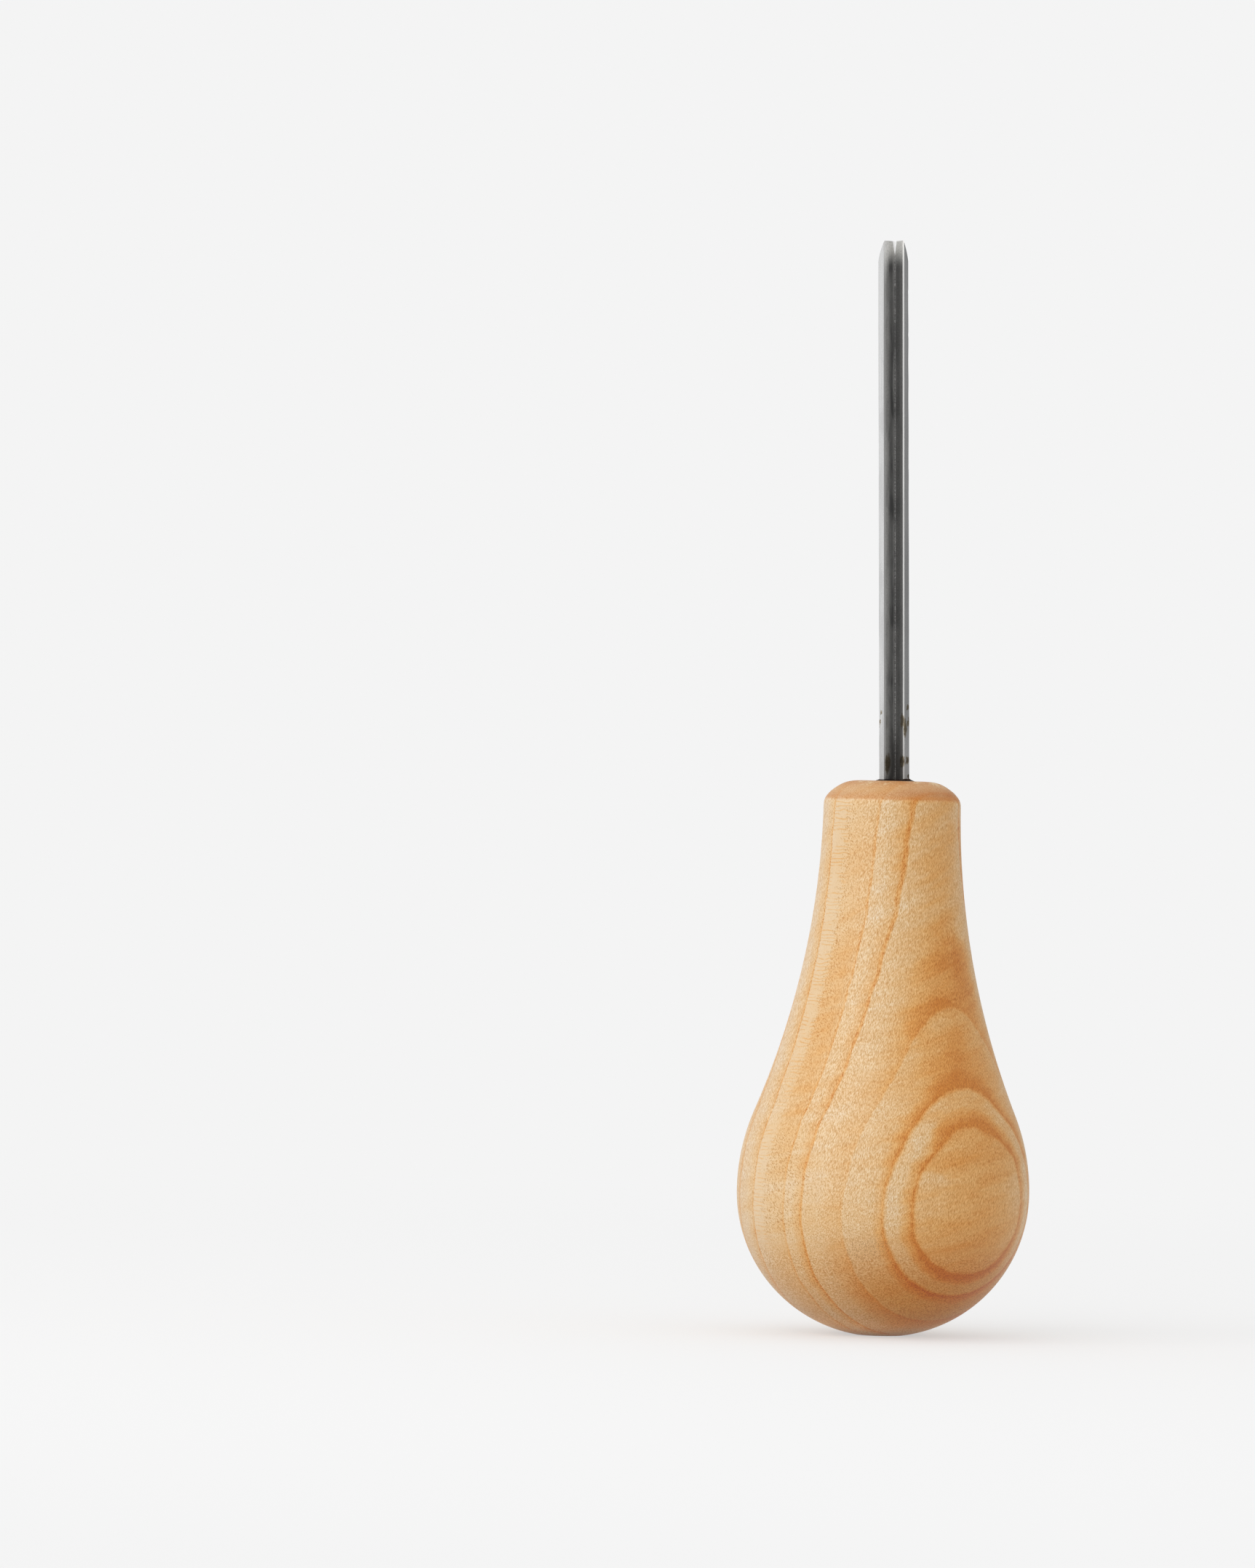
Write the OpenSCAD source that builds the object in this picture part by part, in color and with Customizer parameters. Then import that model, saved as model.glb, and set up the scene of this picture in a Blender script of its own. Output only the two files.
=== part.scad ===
// Palm V-tool: a turned pear-shaped wooden handle that fits the palm, with a slim
// V-section carving blade glued into a bore in its neck.
// Millimetres. The origin is the middle of the flat on the butt, +Z runs up the
// handle's turning axis, and the channel of the V faces -Y.

/* [Handle] */
// Length of the handle, from the butt to the end face that the blade comes out of
handle_len = 72.7; // [60:0.1:90]
// Largest diameter of the bulb
bulb_d = 38.4; // [32:0.1:46]
// Height of the largest diameter above the butt
bulb_height = 18.7; // [14:0.1:24]
// Diameter of the flat on the butt
butt_flat_d = 6.5; // [3:0.1:12]
// Radius of the bulb's curve above its largest diameter
bulb_upper_r = 27.3; // [22:0.1:34]
// Diameter of the neck, just under the shoulder
neck_d = 18; // [14:0.1:24]
// Drop of the shoulder from the end face to the crease above the neck
shoulder_drop = 2.6; // [1:0.1:5]
// How far the shoulder's curve stands out from a straight chamfer
shoulder_crown = 0.38; // [0.1:0.02:0.6]
// Diameter of the flat end face
end_face_d = 11.4; // [8:0.1:13]

/* [Blade] */
// Length of blade outside the handle
blade_len = 71; // [40:0.5:100]
// Width across the two wings of the V
blade_w = 4; // [3:0.1:5]
// Angle between the two inner walls of the V
v_angle = 75; // [60:1:90]
// Width of the ground land along the top of each wing
land_w = 0.78; // [0.4:0.02:1]
// Tilt of each land, down towards the outside
land_tilt = 8; // [0:1:15]
// Width of the small chamfer between a land and the channel
inner_chamfer = 0.12; // [0.05:0.01:0.25]
// Radius at the bottom of the channel
channel_r = 0.1; // [0.05:0.01:0.2]
// Radius along the keel, the outside of the V
keel_r = 0.3; // [0.1:0.05:0.6]
// Length of the sharpening bevel on the outside of each wing
bevel_len = 2.7; // [1.5:0.1:5]
// Thickness left at the cutting edge
edge_land = 0.03; // [0.02:0.01:0.1]
// Lean of the blade away from the handle's axis, to the left seen from the channel side
blade_lean = 1.5; // [0:0.1:3]
// Sideways place of the blade where it leaves the end face
blade_offset = 0.22; // [-0.5:0.01:0.5]

/* [Tang] */
// Length of blade inside the handle
tang_len = 30; // [20:0.5:40]
// Length of the taper at the end of the tang
tang_taper_len = 6; // [3:0.5:10]
// Diameter that the taper comes down to
tang_end_d = 2.4; // [1.6:0.1:3]
// Thickness of adhesive between the tang's corners and the bore
glue_gap = 0.2; // [0.1:0.02:0.4]
// Depth of adhesive under the end of the tang
glue_floor = 1.5; // [0.5:0.1:3]
// Point angle of the drill that made the bore
drill_point_angle = 118; // [90:1:140]
// Width and depth of the eased edge at the mouth of the bore
mouth_ease = 0.3; // [0.1:0.05:0.6]
// Height of the adhesive that squeezed out round the blade
squeeze_out = 0.25; // [0.1:0.05:0.5]

/* [Hidden] */
$fn = 96;
// Angle covered by one step of a large arc of the handle, in degrees
handle_arc_step = 1.5;
// Angle covered by one step of a small arc of the blade's section, in degrees
section_arc_step = 15;
// Overshoot that keeps cutting shapes clear of the faces they cut
over = 1;

wood_colour = [0.86, 0.65, 0.41];
steel_colour = [0.60, 0.61, 0.61];
adhesive_colour = [0.12, 0.10, 0.11];

// Handle outline
bulb_r = bulb_d / 2;
butt_flat_r = butt_flat_d / 2;
neck_r = neck_d / 2;
end_face_r = end_face_d / 2;
crease_z = handle_len - shoulder_drop;
// The lower bulb is an arc that is upright at the largest diameter and ends on the butt flat
bulb_out = bulb_r - butt_flat_r;
bulb_lower_r = (bulb_out * bulb_out + bulb_height * bulb_height) / (2 * bulb_out);
bulb_lower_sweep = asin(bulb_height / bulb_lower_r);
// The cove is an arc that is upright at the crease and tangent to the upper bulb
cove_rise = crease_z - bulb_height;
cove_in = neck_r - bulb_r + bulb_upper_r;
cove_r = (cove_in * cove_in + cove_rise * cove_rise - bulb_upper_r * bulb_upper_r) / (2 * (bulb_r - neck_r));
cove_sweep = asin(cove_rise / (bulb_upper_r + cove_r));
// The shoulder is an arc through the crease and the edge of the end face
shoulder_run = neck_r - end_face_r;
shoulder_chord = sqrt(shoulder_run * shoulder_run + shoulder_drop * shoulder_drop);
shoulder_r = (shoulder_chord * shoulder_chord / 4 + shoulder_crown * shoulder_crown) / (2 * shoulder_crown);
shoulder_half_sweep = asin(shoulder_chord / 2 / shoulder_r);
shoulder_facing = atan2(shoulder_run, shoulder_drop);

// Blade section: x runs across the wings and y runs from the channel's mouth towards the keel
half_angle = v_angle / 2;
wing_x = blade_w / 2;
channel_x = wing_x - land_w;
crest_x = channel_x + inner_chamfer;
land_fall = (wing_x - crest_x) * tan(land_tilt);
channel_depth = channel_x / tan(half_angle);
channel_arc_y = channel_depth - channel_r / sin(half_angle);
keel_arc_y = land_fall + wing_x / tan(half_angle) - keel_r / sin(half_angle);
keel_y = keel_arc_y + keel_r;
// Distance of a wall's outer and inner faces from the middle of the channel's mouth
wall_outer = wing_x * cos(half_angle) + land_fall * sin(half_angle);
wall_inner = channel_x * cos(half_angle);
wall_t = wall_outer - wall_inner;
bevel_angle = atan((wall_t - edge_land) / bevel_len);
// The bore's axis is the centre of the circle round the section's three corners
bore_axis_y = (keel_y * keel_y - land_fall * land_fall - wing_x * wing_x) / (2 * (keel_y - land_fall));
section_r = keel_y - bore_axis_y;
bore_r = section_r + glue_gap;
mouth_r = bore_r + mouth_ease;
bore_depth = tang_len + glue_floor;
drill_point = bore_r / tan(drill_point_angle / 2);

// Points along an arc from one angle to another, both ends included
function arc_points(centre, r, from, to, step) =
    let (steps = max(2, ceil(abs(to - from) / step)))
    [for (i = [0:steps])
        let (a = from + (to - from) * i / steps)
        centre + r * [cos(a), sin(a)]];

// Mirror image of a list of section points in reverse order, without the two ends on the mirror line
function mirrored(points) = [for (i = [len(points) - 2:-1:1]) [-points[i][0], points[i][1]]];

// Half outline of the handle: x is the radius, y is the height above the butt
module handle_outline() {
    shoulder_mid = [(neck_r + end_face_r) / 2, handle_len - shoulder_drop / 2];
    shoulder_centre = shoulder_mid
        - (shoulder_r - shoulder_crown) * [cos(shoulder_facing), sin(shoulder_facing)];
    shoulder_from = shoulder_facing - shoulder_half_sweep;
    shoulder_to = shoulder_facing + shoulder_half_sweep;
    polygon(concat(
        [[0, 0]],
        arc_points([bulb_r - bulb_lower_r, bulb_height], bulb_lower_r, -bulb_lower_sweep, 0, handle_arc_step),
        arc_points([bulb_r - bulb_upper_r, bulb_height], bulb_upper_r, 0, cove_sweep, handle_arc_step),
        arc_points([neck_r + cove_r, crease_z], cove_r, 180 + cove_sweep, 180, handle_arc_step),
        arc_points(shoulder_centre, shoulder_r, shoulder_from, shoulder_to, handle_arc_step),
        [[0, handle_len]]
    ));
}

// Places what belongs to the blade: its z = 0 is where the blade leaves the end face
module on_blade_axis() {
    translate([blade_offset, 0, handle_len])
        rotate([0, -blade_lean, 0])
            children();
}

// Space of the drilled bore, run out through the end face
module bore_space() {
    on_blade_axis()
        rotate_extrude()
            polygon([
                [0, -bore_depth - drill_point],
                [bore_r, -bore_depth],
                [bore_r, -mouth_ease],
                [mouth_r, 0],
                [mouth_r, over],
                [0, over]
            ]);
}

// Cross-section of the V, with its land, chamfer, channel and keel
module v_section() {
    right_side = concat(
        arc_points([0, keel_arc_y], keel_r, 90, half_angle, section_arc_step),
        [
            [wing_x, land_fall],
            [crest_x, 0],
            [channel_x - inner_chamfer * tan(half_angle), inner_chamfer]
        ],
        arc_points([0, channel_arc_y], channel_r, half_angle, 90, section_arc_step)
    );
    translate([0, -bore_axis_y])
        polygon(concat(right_side, mirrored(right_side)));
}

// Stock that is ground away to make the sharpening bevel outside one wing
module bevel_waste() {
    reach = 2 * blade_w;
    translate([0, -bore_axis_y, 0])
        rotate([0, 0, half_angle])
            translate([wall_outer, 0, blade_len - bevel_len])
                rotate([0, -bevel_angle, 0])
                    translate([0, -reach, 0])
                        cube([reach, 2 * reach, 2 * bevel_len]);
}

// Envelope that tapers the end of the tang
module tang_envelope() {
    rotate_extrude()
        polygon([
            [0, -tang_len],
            [tang_end_d / 2, -tang_len],
            [bore_r, tang_taper_len - tang_len],
            [bore_r, blade_len + over],
            [0, blade_len + over]
        ]);
}

// Steel blade in its own frame: cutting edge, V-section shank and tang in one piece
module blade_steel() {
    difference() {
        intersection() {
            translate([0, 0, -tang_len])
                linear_extrude(height = tang_len + blade_len)
                    v_section();
            tang_envelope();
        }
        bevel_waste();
        mirror([1, 0, 0])
            bevel_waste();
    }
}

// Turned handle with the bore for the tang
module handle() {
    color(wood_colour)
        difference() {
            rotate_extrude()
                handle_outline();
            bore_space();
        }
}

// Blade, set in the handle
module blade() {
    color(steel_colour)
        on_blade_axis()
            blade_steel();
}

// Cured adhesive: it fills the bore round the tang and stands up a little round the blade
module tang_adhesive() {
    color(adhesive_colour)
        on_blade_axis()
            difference() {
                rotate_extrude()
                    polygon([
                        [0, -bore_depth - drill_point],
                        [bore_r, -bore_depth],
                        [bore_r, -mouth_ease],
                        [section_r + glue_gap / 2, squeeze_out],
                        [0, squeeze_out]
                    ]);
                blade_steel();
            }
}

handle();
blade();
tang_adhesive();
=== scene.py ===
# %% [markdown]
# A palm V-tool, dressed for a studio picture
#
# The tool is a slim V-shaped carving blade glued into a turned wooden handle that fills
# the palm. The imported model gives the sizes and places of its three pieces. This lesson
# gives each piece a finer mesh and a material made of nodes, then lights the tool and
# sets the camera. Sizes are written in millimetres and turned into metres by MM.

# %% Load the frame
import math
import random
from types import SimpleNamespace

import bmesh
import bpy
from mathutils import Matrix, Vector


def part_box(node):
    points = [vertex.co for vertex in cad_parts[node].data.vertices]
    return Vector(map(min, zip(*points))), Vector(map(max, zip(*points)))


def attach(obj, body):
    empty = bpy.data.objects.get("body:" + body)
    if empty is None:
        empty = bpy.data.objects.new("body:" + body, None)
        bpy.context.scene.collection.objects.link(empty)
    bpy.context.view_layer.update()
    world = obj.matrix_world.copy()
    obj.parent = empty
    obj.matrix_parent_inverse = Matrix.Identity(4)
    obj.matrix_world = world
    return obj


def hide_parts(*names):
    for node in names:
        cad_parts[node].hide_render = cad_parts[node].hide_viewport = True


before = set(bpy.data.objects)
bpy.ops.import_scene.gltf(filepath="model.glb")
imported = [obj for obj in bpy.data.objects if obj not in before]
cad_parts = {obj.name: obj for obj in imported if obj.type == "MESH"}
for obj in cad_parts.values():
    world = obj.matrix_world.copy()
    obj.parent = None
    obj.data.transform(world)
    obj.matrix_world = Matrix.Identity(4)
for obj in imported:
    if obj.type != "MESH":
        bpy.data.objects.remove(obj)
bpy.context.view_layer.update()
MM = 0.001

# %% [markdown]
# Read what the frame already knows
#
# A lathe-turned handle is measured by its length and its largest diameter, and both can be
# read from the handle's box. Reading them here, and not typing them again, keeps the mesh
# on the model. The blade's box gives the length that stands out of the handle, once its
# small lean is allowed for.

# %% Sizes read from the frame
handle_low, handle_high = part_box("handle")
blade_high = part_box("blade")[1]
handle_len = handle_high.z
bulb_r = min(handle_high.x, handle_high.y, -handle_low.x, -handle_low.y)
blade_lean = math.radians(1.5)
blade_offset = 0.22 * MM
print(f"handle {handle_len / MM:.1f} mm, bulb {2 * bulb_r / MM:.1f} mm")

# %% [markdown]
# One helper for every mesh
#
# All three pieces are lofts: a row of closed loops with the same number of points, joined
# by quads. A lathe shape is a loft of circles, and a ground blade is a loft of its
# section. Screw and Skin modifiers could make some of these, but a loft keeps control of
# every loop. Edges that turn sharply are marked sharp, so that smooth shading doesn't
# smear across a ground corner.


# %% Loft helper
def add_piece(name, data):
    """Puts a finished mesh, a lamp or a camera into the scene as an object."""
    piece = bpy.data.objects.new(name, data)
    bpy.context.scene.collection.objects.link(piece)
    return piece


def loft(name, loops, start_tip=None, end_tip=None, sharp_angle=28.0):
    """Joins equal loops of points with quads, and closes both ends with a fan or one face."""
    shape = bmesh.new()
    rows = [[shape.verts.new(point) for point in loop] for loop in loops]
    count = len(rows[0])
    for lower, upper in zip(rows, rows[1:]):
        for i in range(count):
            j = (i + 1) % count
            shape.faces.new((lower[i], lower[j], upper[j], upper[i]))
    for row, tip in ((rows[0], start_tip), (rows[-1], end_tip)):
        if tip is None:
            shape.faces.new(row)
            continue
        middle = shape.verts.new(tip)
        for i in range(count):
            shape.faces.new((row[i], row[(i + 1) % count], middle))
    bmesh.ops.remove_doubles(shape, verts=shape.verts, dist=1e-7)
    bmesh.ops.recalc_face_normals(shape, faces=shape.faces)
    limit = math.radians(sharp_angle)
    for face in shape.faces:
        face.smooth = True
    for edge in shape.edges:
        edge.smooth = len(edge.link_faces) == 2 and edge.calc_face_angle(0.0) < limit
    mesh = bpy.data.meshes.new(name)
    shape.to_mesh(mesh)
    shape.free()
    print(f"{name}: {len(mesh.vertices)} points, {len(mesh.polygons)} faces")
    return add_piece(name, mesh)


def arc(centre, radius, start, end, steps):
    """Points along an arc in the plane, angles in radians, both ends included."""
    turns = [start + (end - start) * i / steps for i in range(steps + 1)]
    return [Vector((centre[0] + radius * math.cos(a), centre[1] + radius * math.sin(a))) for a in turns]


# %% [markdown]
# The handle's outline
#
# On the lathe the handle is one sweep of the gouge: a round lower bulb, a fuller upper
# bulb, a long cove up to the neck, then a crease and a rounded shoulder. Tangent arcs draw
# it, as a turner's template would. Sanding takes the corners off afterwards, so the
# outline is drawn finely and then smoothed by a few passes that average each point with
# its two neighbours. That leaves the long arcs as they are and eases the crease.

# %% Handle outline
BULB_HEIGHT = 18.7 * MM
BUTT_FLAT_R = 3.25 * MM
BULB_UPPER_R = 27.3 * MM
NECK_R = 9.0 * MM
SHOULDER_DROP = 2.6 * MM
SHOULDER_CROWN = 0.38 * MM
END_FACE_R = 5.7 * MM
FACE_INNER_R = 3.9 * MM
OUTLINE_STEP = 0.3 * MM
SANDING_PASSES = 4
RIM_PASSES = 14
RIM_HEIGHT = 1.3 * MM


def handle_outline():
    """Radius and height along the handle, from the edge of the butt flat to the end face."""
    crease_z = handle_len - SHOULDER_DROP
    out = bulb_r - BUTT_FLAT_R
    lower_r = (out * out + BULB_HEIGHT**2) / (2 * out)
    rise = crease_z - BULB_HEIGHT
    inward = NECK_R - bulb_r + BULB_UPPER_R
    cove_r = (inward**2 + rise**2 - BULB_UPPER_R**2) / (2 * (bulb_r - NECK_R))
    cove_sweep = math.asin(rise / (BULB_UPPER_R + cove_r))
    run = NECK_R - END_FACE_R
    chord = math.hypot(run, SHOULDER_DROP)
    shoulder_r = (chord**2 / 4 + SHOULDER_CROWN**2) / (2 * SHOULDER_CROWN)
    facing = math.atan2(run, SHOULDER_DROP)
    half = math.asin(chord / 2 / shoulder_r)
    sink = shoulder_r - SHOULDER_CROWN
    shoulder_centre = (
        (NECK_R + END_FACE_R) / 2 - sink * math.cos(facing),
        handle_len - SHOULDER_DROP / 2 - sink * math.sin(facing),
    )
    stretches = [
        ((bulb_r - lower_r, BULB_HEIGHT), lower_r, -math.asin(BULB_HEIGHT / lower_r), 0.0),
        ((bulb_r - BULB_UPPER_R, BULB_HEIGHT), BULB_UPPER_R, 0.0, cove_sweep),
        ((NECK_R + cove_r, crease_z), cove_r, math.pi + cove_sweep, math.pi),
        (shoulder_centre, shoulder_r, facing - half, facing + half),
    ]
    points = []
    for centre, radius, start, end in stretches:
        steps = max(4, round(abs(end - start) * radius / OUTLINE_STEP))
        points += arc(centre, radius, start, end, steps)[1 if points else 0 :]
    face_steps = round((END_FACE_R - FACE_INNER_R) / OUTLINE_STEP)
    for i in range(1, face_steps + 1):
        points.append(Vector((END_FACE_R + (FACE_INNER_R - END_FACE_R) * i / face_steps, handle_len)))
    return points


def sanded(points, passes, from_height=0.0):
    """The same outline with its corners eased above a height; the two ends stay."""
    for _ in range(passes):
        eased = [(a + 2 * b + c) / 4 for a, b, c in zip(points, points[1:], points[2:])]
        inner = [new if old.y >= from_height else old for new, old in zip(eased, points[1:-1])]
        points = [points[0], *inner, points[-1]]
    return points


outline = sanded(handle_outline(), SANDING_PASSES)
outline = sanded(outline, RIM_PASSES, handle_len - RIM_HEIGHT)
print(f"outline of {len(outline)} points")

# %% [markdown]
# The blade's own frame
#
# The blade was pushed into its bore by hand and leans a little, so it gets a frame of its
# own: z runs along the blade from the end face, x across the two wings, and y from the
# channel's mouth towards the keel. Everything that belongs to the blade is drawn there and
# placed by one matrix.

# %% Blade frame and section sizes
HALF_ANGLE = math.radians(37.5)
WING_X = 2.0 * MM
LAND_W = 0.78 * MM
LAND_TILT = math.radians(8)
INNER_CHAMFER = 0.12 * MM
CHANNEL_R = 0.1 * MM
KEEL_R = 0.3 * MM
BEVEL_LEN = 2.8 * MM
EDGE_LAND = 0.03 * MM
TANG_LEN = 30 * MM
TANG_TAPER = 6 * MM
GLUE_GAP = 0.2 * MM
GLUE_FLOOR = 1.5 * MM
MOUTH_EASE = 0.3 * MM
DRILL_HALF_ANGLE = math.radians(59)
# Keeps the cutting edge under the top of the model's box
EDGE_CLEAR = 0.02 * MM

blade_place = Matrix.Translation((blade_offset, 0, handle_len)) @ Matrix.Rotation(-blade_lean, 4, "Y")
cos_h, sin_h = math.cos(HALF_ANGLE), math.sin(HALF_ANGLE)
channel_x = WING_X - LAND_W
blade_rise = blade_high.z - handle_len - channel_x * math.sin(blade_lean)
blade_len = blade_rise / math.cos(blade_lean) - EDGE_CLEAR
channel_depth = channel_x / math.tan(HALF_ANGLE)
crest_x = channel_x + INNER_CHAMFER
land_fall = (WING_X - crest_x) * math.tan(LAND_TILT)
wall_inner = channel_x * cos_h
wall_outer = WING_X * cos_h + land_fall * sin_h
keel_y = wall_outer / sin_h - KEEL_R / sin_h + KEEL_R
bore_y = (keel_y**2 - land_fall**2 - WING_X**2) / (2 * (keel_y - land_fall))
section_r = keel_y - bore_y
bore_r = section_r + GLUE_GAP
bore_depth = TANG_LEN + GLUE_FLOOR
drill_point = bore_r / math.tan(DRILL_HALF_ANGLE)
print(f"blade {blade_len / MM:.2f} mm, channel {channel_depth / MM:.2f} mm deep")
print(f"bore {2 * bore_r / MM:.2f} mm across")

# %% [markdown]
# Turn the handle
#
# The outside is the outline spun round the axis. The loops then carry on across the end
# face to the mouth of the bore, which sits a little off centre, and down the bore to its
# drilled point. So the mesh is one closed skin, as the wood itself is.

# %% Handle mesh
HANDLE_SIDES = 192
FACE_LOOPS = 8
QUARTERS = (0.25, 0.5, 0.75)


def circle(radius, height):
    """A level loop of points round the axis."""
    turns = [2 * math.pi * i / HANDLE_SIDES for i in range(HANDLE_SIDES)]
    return [Vector((radius * math.cos(a), radius * math.sin(a), height)) for a in turns]


def turn_handle():
    """Loops from the butt, up the outside, over the end face and down the bore."""
    loops = [circle(BUTT_FLAT_R * share, 0.0) for share in QUARTERS]
    loops += [circle(p.x, p.y) for p in outline]
    rim = loops[-1]
    mouth = [blade_place @ p for p in circle(bore_r + MOUTH_EASE, 0.0)]
    for p in mouth:
        p.z = handle_len
    for i in range(1, FACE_LOOPS + 1):
        share = i / FACE_LOOPS
        loops.append([a.lerp(b, share) for a, b in zip(rim, mouth)])
    for depth in (MOUTH_EASE, *(bore_depth * share for share in QUARTERS), bore_depth):
        loops.append([blade_place @ p for p in circle(bore_r, -depth)])
    tip = blade_place @ Vector((0, 0, -bore_depth - drill_point))
    return loft("turned_handle", loops, start_tip=Vector((0, 0, 0)), end_tip=tip, sharp_angle=40.0)


handle = turn_handle()
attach(handle, "root")
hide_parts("handle")

# %% [markdown]
# The blade's section
#
# Look at the end of a V-tool: two walls meet at a keel, each wall has a narrow ground land
# along its top, and a hairline chamfer leads into the channel. Eight corners describe all
# of it. Real corners are never perfectly sharp, so each one is rounded by its own small
# radius, and that roundness is what catches the light along the edges.
#
# Near the tip the outside of each wall is ground away to meet the inside. In the section
# that is only the outer walls moving inwards, so one number, the distance of the outer wall
# from the channel's mouth, drives the whole bevel.


# %% Section of the blade
# Share of an edge that the rounding of one of its corners may take
EDGE_ROOM = 0.45


def fillet(corners, radii, steps):
    """Rounds each corner of a closed outline by its radius, limited by the edges beside it."""
    points = []
    count = len(corners)
    for i in range(count):
        before, here, after = corners[i - 1], corners[i], corners[(i + 1) % count]
        to_before, to_after = (before - here), (after - here)
        room = EDGE_ROOM * min(to_before.length, to_after.length)
        to_before.normalize()
        to_after.normalize()
        opening = math.acos(max(-1.0, min(1.0, to_before.dot(to_after))))
        cut = min(radii[i] / math.tan(opening / 2), room)
        start, end = here + to_before * cut, here + to_after * cut
        for k in range(steps + 1):
            share = k / steps
            points.append(start.lerp(here, share).lerp(here.lerp(end, share), share))
    return points


OUTER_ROUND = 0.05 * MM
CREST_ROUND = 0.04 * MM
FOOT_ROUND = 0.03 * MM
CORNER_STEPS = 5
CORNERS = 8
# Least shares of a land, and of the chamfer under it, that the bevel leaves
LAND_LEAST = 0.05
CHAMFER_LEAST = 0.02
# Where the land is ground away, its two corners stay this far apart on the chamfer
CREST_SHARE = 0.3
CORNER_GAP = Vector((0.002 * MM, -0.001 * MM))


def section_corners(outer_right, outer_left, shift):
    """The eight corners of the section: outer walls at these distances, channel off centre."""

    def wing(outer, sideways):
        crest = Vector((crest_x + sideways, 0.0))
        foot = Vector((channel_x + sideways - INNER_CHAMFER * math.tan(HALF_ANGLE), INNER_CHAMFER))
        corner = Vector((WING_X, land_fall))
        along = corner - crest
        share = (outer - crest.x * cos_h) / (along.x * cos_h + along.y * sin_h)
        if share > LAND_LEAST:
            return crest + along * share, crest, foot
        inner = wall_inner + sideways * cos_h
        left_over = max(CHAMFER_LEAST, (outer - inner) / (crest.x * cos_h - inner))
        ground = foot.lerp(crest, min(1.0, left_over))
        return ground + CORNER_GAP, ground.lerp(foot, CREST_SHARE), foot

    right, left = wing(outer_right, shift), wing(outer_left, -shift)
    keel = Vector(((outer_right - outer_left) / 2 / cos_h, (outer_right + outer_left) / 2 / sin_h))
    bottom = Vector((shift, channel_depth))
    mirrored = [Vector((-p.x, p.y)) for p in left]
    return [keel, *right, bottom, *reversed(mirrored)]


def section(outer_right, outer_left, keel_r, shift=0.0):
    """One loop of the blade in the plane, with the bore's axis at the origin."""
    corners = section_corners(outer_right, outer_left, shift)
    wing_radii = [OUTER_ROUND, CREST_ROUND, FOOT_ROUND]
    radii = [keel_r, *wing_radii, CHANNEL_R, *reversed(wing_radii)]
    return [Vector((p.x, p.y - bore_y)) for p in fillet(corners, radii, CORNER_STEPS)]


plain_section = section(wall_outer, wall_outer, KEEL_R)
print(f"section of {len(plain_section)} points")

# %% [markdown]
# Grind the blade
#
# The section runs the whole length, from the tapered end of the tang to the cutting edge.
# A hand-ground blade isn't a perfect extrusion: its outer walls wander by a hundredth of a
# millimetre, the channel runs a tenth off centre towards the tip, the edges have small nicks,
# and the bevel is slightly rounded where it was rocked on the stone. The loops are close
# together at the tip, where the shape changes fast, and far apart in the tang, which nobody
# sees.

# %% Blade mesh
BLADE_SEED = 41
WANDER = 0.012 * MM
WANDER_STEP = 2.5 * MM
CHANNEL_SHIFT = 0.11 * MM
NICK_DEPTH = 0.022 * MM
NICK_LEN = 0.22 * MM
NICK_COUNT = 5
NICK_FROM = 4 * MM
NICK_TO_TIP = 6 * MM
# Share of the section that is left at the end of the tang
TANG_END = 0.5
BEVEL_STRAIGHT = 0.4
EDGE_REACH = 0.4 * MM
EDGE_HOLLOW = 0.11 * MM
EDGE_RIPPLE = 0.03 * MM
EDGE_WAVE = 0.07 * MM
LOOP_STEP = 0.4 * MM
TIP_STEP = 0.07 * MM
TANG_STEP = 3.0 * MM


def spaced(start, end, step):
    """Even places from start up to, and not including, end."""
    count = max(1, round((end - start) / step))
    return [start + (end - start) * i / count for i in range(count)]


def smooth_wander(draw, length, knot_step):
    """A smooth random curve along the blade, between -1 and 1."""
    knots = [draw.uniform(-1, 1) for _ in range(int(length / knot_step) + 3)]

    def at(z):
        place = max(0.0, z) / knot_step
        i = min(int(place), len(knots) - 2)
        share = place - i
        share = share * share * (3 - 2 * share)
        return knots[i] * (1 - share) + knots[i + 1] * share

    return at


def channel_shift(z):
    """How far right of the middle the channel runs at this height."""
    return CHANNEL_SHIFT * max(0.0, z / blade_len)


def bevel_share(z):
    """0 before the sharpening bevel and 1 at the cutting edge, slightly rounded."""
    u = max(0.0, min(1.0, (z - blade_len + BEVEL_LEN) / BEVEL_LEN))
    return BEVEL_STRAIGHT * u + (1 - BEVEL_STRAIGHT) * u * u


def edge_dip(point, z):
    """How far the cutting edge falls short here: each wall is honed slightly hollow."""
    share = max(0.0, min(1.0, (z - blade_len + EDGE_REACH) / EDGE_REACH))
    across = min(1.0, abs(point.x - CHANNEL_SHIFT) / channel_x)
    waves = 0.5 + 0.5 * math.sin(point.x / EDGE_WAVE)
    return share * (EDGE_HOLLOW * 4 * across * (1 - across) + EDGE_RIPPLE * waves)


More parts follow.
